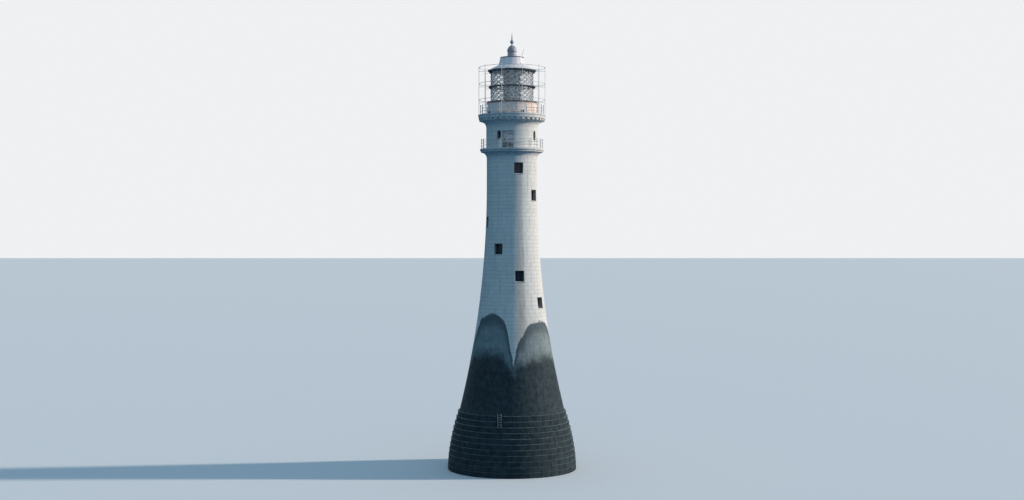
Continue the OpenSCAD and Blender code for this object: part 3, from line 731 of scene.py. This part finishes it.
bm = bmesh.new()
corbelHead = high("upper_gallery_cornice") - 0.002
corbelRadius = max(r for z, r in outline("upper_gallery_cornice"))
corbelFace = corbelRadius + masonry["proud"]
wallRadius = corbelRadius - corbels["reach"]
corbel = sector([(wallRadius - 0.01, corbelFoot - 0.006), (corbelFace - 0.02, corbelFoot - 0.006),
                 (corbelFace, corbelFoot + 0.02), (corbelFace, corbelHead), (wallRadius - 0.01, corbelHead)],
                180 / corbels["count"] + 0.35, 2, masonry["arris"])
for azimuth in around(corbels["count"]):
    stamp(bm, corbel, turned(azimuth), random.random())
layRow(bm, strip(wallRadius, corbelFoot + 0.003, corbelFoot + corbels["height"] - 0.003, 0.01, 0.011),
       wallRadius, (), 5, corbels["stone"], 0.003)
addStones("corbel_stones", bm)
print("masonry laid")


# Windows and doors

windowParts = {"bar": 0.02, "barDepth": 0.03, "frame": 0.045, "frameDepth": 0.06, "sillProud": 0.02,
               "sillThick": 0.03, "sillFall": 0.035}


def windowBars(bm, azimuth, wall, sill, width, upright, crosses):
    # One upright and cross bars at these heights over the frame's foot, on panes that stand in a wall.
    face = wall - windowParts["frameDepth"] + windowParts["barDepth"] + 0.001
    frameFoot = sill + windowParts["frame"]
    cross = blockMesh(width - 2 * windowParts["frame"], windowParts["barDepth"] - 0.004, windowParts["bar"])
    stamp(bm, blockMesh(windowParts["bar"], windowParts["barDepth"], upright),
          turned(azimuth, face, frameFoot))
    for z in crosses:
        stamp(bm, cross, turned(azimuth, face - 0.002, frameFoot + z))


bars = bmesh.new()
sills = bmesh.new()
for azimuth, sill, head in shaftWindows:
    inside = shaftRadius((sill + head) / 2) - windows["reveal"]
    clear = head - sill - 2 * windowParts["frame"]
    windowBars(bars, azimuth, inside, sill, windows["width"], clear,
               [share * clear - windowParts["bar"] / 2 for share in (1 / 3, 2 / 3)])
    outside = shaftRadius(sill) + masonry["proud"] + windowParts["sillProud"]
    slab = block(windows["width"] - 0.006, outside - inside, windowParts["sillThick"])
    for v in slab.verts:
        if v.co.z > 0.01 and v.co.y > 0.1:
            v.co.z += windowParts["sillFall"]
    roundEdges(slab, [e for e in slab.edges if e.verts[0].co.y + e.verts[1].co.y < 0.01], 0.008)
    stamp(sills, toMesh(slab), turned(azimuth, outside, sill), random.random())
for azimuth in neck["slits"]:
    clear = neck["slitHeight"] - 2 * windowParts["frame"]
    windowBars(bars, azimuth, neckRadius - windows["reveal"] / 2, slitLow, neck["slitWidth"], clear - 0.004,
               [share * clear for share in (0.36, 0.72)])
addPiece("window_bars", bars, windowPaint)
addStones("window_sills", sills)

doorParts = {"frame": 0.035, "frameDepth": 0.03, "strap": 0.52, "rivets": 4, "stud": 0.011,
             "studStep": 0.085, "pull": 0.045}
knuckle = latheMesh([(0, 0), (0.011, 0), (0.011, 0.012), (0.013, 0.014), (0.013, 0.056), (0.011, 0.058),
                     (0.011, 0.07), (0, 0.07)], 12)
strapRivet = latheMesh([(0, 0.005), (0.004, 0.004), (0.007, 0), (0, 0)], 8)
studSize = doorParts["stud"]
stud = latheMesh([(0, studSize), (studSize * 0.7, studSize * 0.7), (studSize, 0), (0, 0)], 8)
pullRose = latheMesh([(0, 0.02), (0.014, 0.018), (0.018, 0.006), (0.028, 0.004), (0.03, 0), (0, 0)], 14)
pull = bmesh.new()
bmesh.ops.create_circle(pull, cap_ends=False, radius=0.008, segments=8,
                        matrix=Matrix.Translation((doorParts["pull"], 0, 0)) @ rotation(90, "X"))
bmesh.ops.spin(pull, geom=pull.verts[:] + pull.edges[:], cent=(0, 0, 0), axis=(0, 0, 1), angle=2 * math.pi,
               steps=20, use_merge=True)
bmesh.ops.recalc_face_normals(pull, faces=pull.faces)
pull = toMesh(pull)


def doorFittings(name, radius, finish, frameFinish):
    # Frame, strap hinges, knuckles, pull and studs, all on the outer face of the CAD door.
    facts = doors[name]
    azimuth = facts["azimuth"]
    width = facts["width"]
    bottom = low(name)
    height = high(name) - bottom
    frame = doorParts["frame"]
    depth = doorParts["frameDepth"]
    bm = bmesh.new()
    for side in (-1, 1):
        stamp(bm, blockMesh(frame, depth, height - 0.002, 0.004),
              turned(azimuth, radius + depth + 0.001, bottom, side * (width / 2 - frame / 2 - 0.001)))
    stamp(bm, blockMesh(width - 2 * frame - 0.005, depth, frame, 0.004),
          turned(azimuth, radius + depth + 0.001, bottom + height - frame - 0.002))
    addPiece(name + "_frame", bm, frameFinish)
    bm = bmesh.new()
    strapLength = width * doorParts["strap"]
    strap = blockMesh(strapLength, 0.007, 0.034, 0.002)
    hinge = width / 2 - 0.045
    for share in facts["hinges"]:
        z = bottom + share * height
        stamp(bm, knuckle, turned(azimuth, radius + 0.012, z - 0.035, hinge))
        stamp(bm, strap, turned(azimuth, radius + 0.007, z - 0.017, hinge - strapLength / 2))
        for k in range(doorParts["rivets"]):
            stamp(bm, strapRivet, facing(azimuth, radius + 0.007, z, hinge - 0.03 - k * width * 0.14))
    if facts.get("studded"):
        for k in range(int((height - 0.05) / doorParts["studStep"])):
            for side in (-1, 0, 1):
                stamp(bm, stud, facing(azimuth, radius, bottom + 0.05 + k * doorParts["studStep"],
                                       side * (width / 2 - 0.062)))
    pullHeight = bottom + 0.48 * height
    stamp(bm, pull, facing(azimuth, radius + 0.012, pullHeight, 0.12 - width / 2))
    stamp(bm, pullRose, facing(azimuth, radius, pullHeight + doorParts["pull"], 0.12 - width / 2))
    addPiece(name + "_fittings", bm, finish)


lanternWall = boxes["lantern_foot_wall"][1].x
doorFittings("entrance_door", shaftRadius(low("entrance_storey_wall")) - windows["reveal"], rungMetal,
             doorBronze)
doorFittings("gallery_door", neckRadius - windows["reveal"] / 2, windowPaint, galleryDoorPaint)
doorFittings("lantern_door", lanternWall - windows["reveal"] / 2, windowPaint, doorPaint)

rungs = {"step": 0.17, "width": 0.26}
bm = bmesh.new()
rungPlate = latheMesh([(0, 0.014), (0.02, 0.014), (0.028, 0.008), (0.03, 0), (0, 0)], 12)
z = high("stepped_base") + rungs["step"]
while z < high("solid_shaft") - rungs["step"] / 2 + 0.001:
    for side in (-1, 1):
        stamp(bm, rungPlate, facing(180, shaftRadius(z) + masonry["proud"] - 0.002, z,
                                    side * rungs["width"] / 2))
    z += rungs["step"]
addPiece("rung_plates", bm, rungMetal)
print("windows and doors made")


# Railings and staging

railing = {"posts": 24, "shares": (0.32, 0.62, 0.92), "height": 0.6, "clamp": 0.018,
           "radii": {"lower_gallery": 1.915, "upper_gallery": 1.975}}
postFoot = latheMesh([(0, 0.03), (0.018, 0.03), (0.021, 0.014), (0.038, 0.01), (0.041, 0), (0, 0)], 16)
postCollar = latheMesh([(0, 0.018), (0.018, 0.016), (0.02, 0.009), (0.018, 0.002), (0, 0)], 12)
clamp = blockMesh(0.036, 0.052, 0.032, 0.005)
clampBolt = latheMesh([(0, 0.008), (0.008, 0.008), (0.009, 0), (0, 0)], 6)
for name, radius in railing["radii"].items():
    bm = bmesh.new()
    deck = high(name + "_deck")
    for azimuth in around(railing["posts"], 180 / railing["posts"]):
        stamp(bm, postFoot, turned(azimuth, radius, deck + deckStones["top"]))
        stamp(bm, postCollar, turned(azimuth, radius, deck + railing["height"] - 0.032))
        for share in railing["shares"]:
            z = deck + share * railing["height"]
            stamp(bm, clamp, turned(azimuth, radius + railing["clamp"], z - 0.016))
            stamp(bm, clampBolt, facing(azimuth, radius + railing["clamp"], z))
    addPiece(name + "_railing_fittings", bm, railPaint)

staging = {"poles": 10, "radius": 2.05, "tube": 0.013, "lift": 1.0, "drop": 0.06}
deck = high("upper_gallery_deck")
tubeFace = staging["radius"] + staging["tube"]
bm = bmesh.new()
sole = latheMesh([(0, 0.04), (0.018, 0.04), (0.019, 0.012), (0.038, 0.01), (0.04, 0), (0, 0)], 16)
cap = latheMesh([(0, 0.006), (0.012, 0.005), (0.016, 0), (0.016, -0.024), (0, -0.024)], 16)
coupler = blockMesh(0.042, 0.062, 0.038, 0.006)
nut = latheMesh([(0, 0.012), (0.009, 0.012), (0.01, 0), (0, 0)], 6)
tieCoupler = blockMesh(0.036, 0.044, 0.034, 0.006)
tiePlate = latheMesh([(0, 0.01), (0.014, 0.01), (0.022, 0.005), (0.024, 0), (0, 0)], 14)
ties = {"lantern_sill_ring": 0.5, "middle_service_ring": 2 / 3, "eaves_ring": 2 / 3}  # shares of the ring
for azimuth in around(staging["poles"], 90):
    stamp(bm, sole, turned(azimuth, staging["radius"], deck + deckStones["top"]))
    stamp(bm, cap, turned(azimuth, staging["radius"], deck + 3 * staging["lift"]))
    for lift in (1, 2, 3):
        z = deck + lift * staging["lift"] - staging["drop"]
        stamp(bm, coupler, turned(azimuth, tubeFace + 0.006, z - 0.019))
        for side in (-1, 1):
            stamp(bm, nut, turned(azimuth, staging["radius"] - staging["tube"], z, side * 0.02)
                  @ rotation(side * 90, "Y"))
    for name, share in ties.items():
        z = low(name) + share * (high(name) - low(name))
        stamp(bm, tieCoupler, turned(azimuth, tubeFace + 0.005, z - 0.017))
        stamp(bm, tiePlate, facing(azimuth, boxes[name][1].x - 0.002, z))
addPiece("staging_couplers", bm, stagingSteel)
print("railings and staging made")


# Lantern

lantern = {"diamonds": 18, "rows": 3, "radius": 1.33, "bar": 0.034, "boss": 0.024, "rivets": 72,
           "rivetShares": {"lantern_sill_ring": 0.5, "middle_service_ring": 0.68, "eaves_ring": 0.68}}
boss = latheMesh([(0, 0.016), (0.011, 0.015), (0.019, 0.010), (lantern["boss"], 0.002),
                  (lantern["boss"], -0.004), (0, -0.004)], 12)
bm = bmesh.new()
for tier in ("lower", "upper"):
    tierLow = low(tier + "_glazing_bars")
    tierHeight = high(tier + "_glazing_bars") - tierLow
    cellHeight = (tierHeight - 2 * lantern["bar"]) / lantern["rows"]
    for row in range(2 * lantern["rows"] + 1):
        z = tierLow + lantern["bar"] + row * cellHeight / 2
        for azimuth in around(lantern["diamonds"], 0 if row % 2 else 180 / lantern["diamonds"]):
            stamp(bm, boss, facing(azimuth, lantern["radius"] - 0.001, z))
addPiece("glazing_bosses", bm, barPaint)

rivet = latheMesh([(0, 0.008), (0.006, 0.0065), (0.0105, 0), (0, 0)], 8)
bm = bmesh.new()
for name, share in lantern["rivetShares"].items():
    z = low(name) + share * (high(name) - low(name))
    for azimuth in around(lantern["rivets"], 2.5):
        stamp(bm, rivet, facing(azimuth, boxes[name][1].x - 0.001, z))
corners = [(0, 0), (-0.105, 0), (-0.105, -0.02), (-0.015, -0.12), (0, -0.12)]
bracket = pushedMesh([(-0.006, y, z) for y, z in corners], (0.012, 0, 0))
for name in ("middle_service_ring", "eaves_ring"):
    stampRow(bm, bracket, lantern["diamonds"], 180 / lantern["diamonds"], lantern["radius"] + 0.001,
             low(name) - 0.001)
addPiece("ring_rivets_and_brackets", bm, lanternPaint)

footWall = {"panels": 16, "seam": 0.05, "rivetStep": 0.075, "rivets": 120, "vents": [26, 116, 206, 296],
            "louvres": 6, "doorHalf": 8}
wallLow = low("lantern_foot_wall")
wallHigh = high("lantern_foot_wall")
panelFace = lanternWall - 0.015
bm = bmesh.new()
seam = sector(strip(panelFace, wallLow + 0.09, wallHigh - 0.05, 0.01, 0.006, 0.004),
              math.degrees(footWall["seam"] / panelFace), 2)
smallRivet = latheMesh([(0, 0.006), (0.005, 0.005), (0.008, 0), (0, 0)], 7)
for azimuth in around(footWall["panels"], 180 / footWall["panels"]):
    stamp(bm, seam, turned(azimuth))
    z = wallLow + 0.13
    while z < wallHigh - 0.07:
        for side in (-1, 1):
            stamp(bm, smallRivet, facing(azimuth + side * 0.5, panelFace + 0.005, z))
        z += footWall["rivetStep"]
for z in (wallLow + 0.035, wallHigh - 0.015):
    for azimuth in around(footWall["rivets"], 1.5):
        nearDoor = abs(azimuth - 180) < footWall["doorHalf"] and z < wallLow + 0.6
        if not nearDoor:
            stamp(bm, smallRivet, facing(azimuth, lanternWall - 0.001, z))
addPiece("foot_wall_seams", bm, footWallPaint)

bm = bmesh.new()
ventBox = blockMesh(0.17, 0.07, 0.21, 0.01)
louvre = blockMesh(0.135, 0.012, 0.012, 0.002)
for azimuth in footWall["vents"]:
    stamp(bm, ventBox, turned(azimuth, lanternWall + 0.022, wallLow + 0.006))
    for k in range(footWall["louvres"]):
        stamp(bm, louvre, turned(azimuth, lanternWall + 0.032, wallLow + 0.035 + k * 0.028))
addPiece("foot_wall_vents", bm, windowPaint)
print("lantern made")


# Roof

roof = {"seams": 24, "rib": 0.014, "ribWidth": 0.02, "drumSeams": 18, "plateRivets": 36}


def ribAlong(points, rise, sink, width):  # a standing seam over points of (radius, height), outwards and up
    middle = points[len(points) // 2][0]
    over = [(r + rise * 0.4, z + rise) for r, z in points]
    under = [(r - sink * 0.4, z - sink) for r, z in reversed(points)]
    return sector(over + under, math.degrees(width / middle), 1)


skirt = [(r, z) for z, r in outline("roof_skirt")][1:]
drum = [(r, z) for z, r in outline("roof_drum")]
bm = bmesh.new()
rib = ribAlong(skirt, roof["rib"], 0.004, roof["ribWidth"])
stampRow(bm, rib, roof["seams"], 180 / roof["seams"])
(drumFootR, drumFootZ), (drumTopR, drumTopZ) = drum[0], drum[-1]
drumRib = sector([(drumFootR - 0.005, drumFootZ + 0.02), (drumFootR + 0.009, drumFootZ + 0.02),
                  (drumTopR + 0.010, drumTopZ - 0.004), (drumTopR - 0.005, drumTopZ - 0.004)], 1.6, 1)
stampRow(bm, drumRib, roof["drumSeams"])
flashing = [(-0.03, -0.002), (0.03, -0.012), (0.012, 0.03), (-0.006, 0.034)]
addRing(bm, [(drumFootR + r, drumFootZ + z) for r, z in flashing], 96)
addPiece("roof_seams", bm, roofPaint)

eave = boxes["eaves_ring"][1].x
eaveTop = high("eaves_ring")
bm = bmesh.new()
gutter = [(-0.03, -0.002), (0.026, -0.002), (0.034, 0.008), (0.034, 0.034), (0.026, 0.034), (0.022, 0.008),
          (-0.03, 0.006)]
addRing(bm, [(eave + r, eaveTop + z) for r, z in gutter], 96)
plateEdge = boxes["roof_cover_plate"][1].x
plateTop = high("roof_cover_plate")
stampRow(bm, rivet, roof["plateRivets"], 0, plateEdge - 0.03, plateTop - 0.001)
for azimuth in around(roof["plateRivets"], 5):
    stamp(bm, smallRivet, facing(azimuth, plateEdge - 0.001, plateTop - 0.022))
addPiece("gutter_and_plate_rivets", bm, platePaint)

vent = {"radius": 0.275, "height": 0.35, "slot": 0.07, "rim": 0.02, "hood": 0.4, "domeTurn": 80,
        "fins": 32, "uprights": 8, "hoodRibs": 12}
ventLow = low("ventilator")
bm = bmesh.new()
fin = blockMesh(0.012, 0.04, vent["slot"] + 0.004)
slotLow = ventLow + vent["height"] - vent["slot"] - vent["rim"]
stampRow(bm, fin, vent["fins"], 0, vent["radius"] - 0.008, slotLow - 0.002)
for z in (ventLow + 0.03, slotLow - 0.03):
    addRing(bm, strip(vent["radius"], z - 0.01, z + 0.01, 0.004, 0.007, 0.002), 64)
ventUpright = sector(strip(vent["radius"], ventLow + 0.04, slotLow - 0.04, 0.004, 0.006), 3.2, 1)
stampRow(bm, ventUpright, vent["uprights"])
addPiece("ventilator_fittings", bm, roofPaint)

rim = vent["radius"] + vent["rim"]
rimHigh = ventLow + vent["height"]
domeRise = vent["hood"] / math.sin(math.radians(vent["domeTurn"]))
dome = [(rim * math.cos(math.radians(a)), rimHigh + domeRise * math.sin(math.radians(a)))
        for a in range(0, vent["domeTurn"], 10)]
bm = bmesh.new()
hoodRib = sector([*[(r + 0.006, z + 0.004) for r, z in dome],
                  *[(r - 0.01, z - 0.004) for r, z in reversed(dome)]], 2.6, 1)
stampRow(bm, hoodRib, vent["hoodRibs"])
addRing(bm, strip(rim, rimHigh - 0.02, rimHigh + 0.004, 0.006, 0.009, 0.004), 64)
addPiece("hood_ribs", bm, hoodPaint)

finial = {"ball": 0.12, "ballHeight": 26.44, "beads": {-0.115: 0.05, 0.112: 0.058}}  # beads: height, radius
ballHeight = finial["ballHeight"]
bm = bmesh.new()
for offset, radius in finial["beads"].items():
    z = ballHeight + offset
    addRing(bm, [(radius - 0.02, z - 0.014), (radius, z - 0.012), (radius + 0.008, z),
                 (radius, z + 0.012), (radius - 0.02, z + 0.014)], 24)
addRing(bm, strip(finial["ball"], ballHeight - 0.006, ballHeight + 0.006, 0.004, 0.005, 0.002), 48)
addPiece("finial_beads", bm, finialPaint)
print("roof made")


# Optic

optic = {"panels": 8, "radius": 0.545, "ringRadii": (0.05, 0.085, 0.12, 0.155), "section": 0.014,
         "upright": 6.6, "eyeSunk": 0.024}
lenses = ("lower_lens", "upper_lens")
opticRadius = optic["radius"]
lensFace = opticRadius - optic["eyeSunk"]
bm = bmesh.new()
brass = bmesh.new()
eye = [(0, 0.03), (0.014, 0.028), (0.028, 0.02), (0.036, 0.006), (0.036, -0.01), (0, -0.01)]
shapes = [latheMesh(eye, 20)]
for radius in optic["ringRadii"]:
    inside = radius - optic["section"] * 0.4
    outside = radius + optic["section"] * 0.9
    behind = -0.02 - (lensFace - math.sqrt(lensFace ** 2 - radius ** 2)) * 0.3
    shapes.append(latheMesh([(inside, behind), (outside, behind), (outside, 0.004), (inside, 0.018)], 32))
for lens in lenses:
    for azimuth in around(optic["panels"]):
        for shape in shapes:
            stamp(bm, shape, facing(azimuth, lensFace, (low(lens) + high(lens)) / 2))
    for z in (low(lens) + 0.006, high(lens) - 0.006):
        addRing(brass, strip(opticRadius, z - 0.011, z + 0.011, 0.06, 0.004), 64)
addPiece("lens_bulls_eyes", bm, lensGlass, "optic")
bm = bmesh.new()
for lens in lenses:
    upright = sector(strip(opticRadius, low(lens) + 0.004, high(lens) - 0.004, 0.02, 0.016),
                     optic["upright"], 2, 0.003)
    stampRow(bm, upright, optic["panels"], 180 / optic["panels"])
addPiece("lens_uprights", bm, opticMetal, "optic")
for azimuth in around(optic["panels"], 180 / optic["panels"]):
    for lens in lenses:
        for z in (low(lens) + 0.1, high(lens) - 0.1):
            stamp(brass, rivet, facing(azimuth, opticRadius + 0.015, z))
addPiece("lens_frames", brass, opticBrass, "optic")
print("optic made")


# Floor, light and camera

stage = {"size": 900, "floor": (0.91, 0.925, 0.94), "bounce": (0.03, 0.12, 0.23), "sky": (0.86, 0.875, 0.89),
         "light": (0.36, 0.69, 1.0), "lightStrength": 0.36}


def floorFinish():  # seen pale, while the light that it throws back on the tower stays low
    f = Finish("floorFinish")
    f.set(stage["floor"], 0.9)
    dim = f.node("ShaderNodeBsdfDiffuse", sockets=[stage["bounce"]])
    seen = Wire(f, f.shader.outputs[0])
    f.feed(f.output.inputs[0], f.node("ShaderNodeMixShader", sockets=[f.ray("Is Camera Ray"), dim, seen]))
    return f.material


bm = bmesh.new()
bmesh.ops.create_grid(bm, x_segments=1, y_segments=1, size=stage["size"])
mesh = toMesh(bm, "floor")
mesh.materials.append(floorFinish())
floor = bpy.data.objects.new("floor", mesh)
bpy.context.scene.collection.objects.link(floor)


def backdrop():  # a pale sky for the camera, metal and glass, and a bluer light on the tower
    world = bpy.data.worlds.new("backdrop")
    bpy.context.scene.world = world
    w = Nodes(world)
    shiny = w.ray("Is Glossy Ray").math("MAXIMUM", w.ray("Is Transmission Ray"))
    seen = w.ray("Is Camera Ray").math("MAXIMUM", shiny)
    light = w.node("ShaderNodeBackground", sockets=[stage["light"], stage["lightStrength"]])
    sky = w.node("ShaderNodeBackground", sockets=[stage["sky"]])
    w.feed(w.tree.nodes.new("ShaderNodeOutputWorld").inputs[0],
           w.node("ShaderNodeMixShader", sockets=[seen, light, sky]))


def addSun(name, azimuth, elevation, strength, softness, colour):
    lamp = bpy.data.lights.new(name, "SUN")
    lamp.energy = strength
    lamp.angle = math.radians(softness)
    lamp.color = colour
    sun = bpy.data.objects.new(name, lamp)
    bpy.context.scene.collection.objects.link(sun)
    towards = Matrix.Rotation(math.radians(azimuth), 3, "Z") @ Vector(
        (0, -math.cos(math.radians(elevation)), math.sin(math.radians(elevation))))
    sun.rotation_mode = "QUATERNION"
    sun.rotation_quaternion = towards.to_track_quat("Z", "Y")


backdrop()
addSun("keyLight", azimuth=94, elevation=17, strength=3.38, softness=3, colour=(1.0, 0.895, 0.79))
addSun("fillLight", azimuth=5, elevation=25, strength=0.24, softness=60, colour=(0.58, 0.82, 1.0))

view = {"distance": 86.5, "height": 14.3, "aim": 13.55, "lens": 49}
camera = bpy.data.cameras.new("camera")
camera.lens = view["lens"]
camera.sensor_width = 36
camera.clip_end = 2000
eye = bpy.data.objects.new("camera", camera)
bpy.context.scene.collection.objects.link(eye)
eye.location = (0, -view["distance"], view["height"])
look = Vector((0, 0, view["aim"])) - eye.location
eye.rotation_mode = "QUATERNION"
eye.rotation_quaternion = look.to_track_quat("-Z", "Y")
bpy.context.scene.camera = eye
bpy.context.scene.view_settings.view_transform = "Standard"
print("stage set")
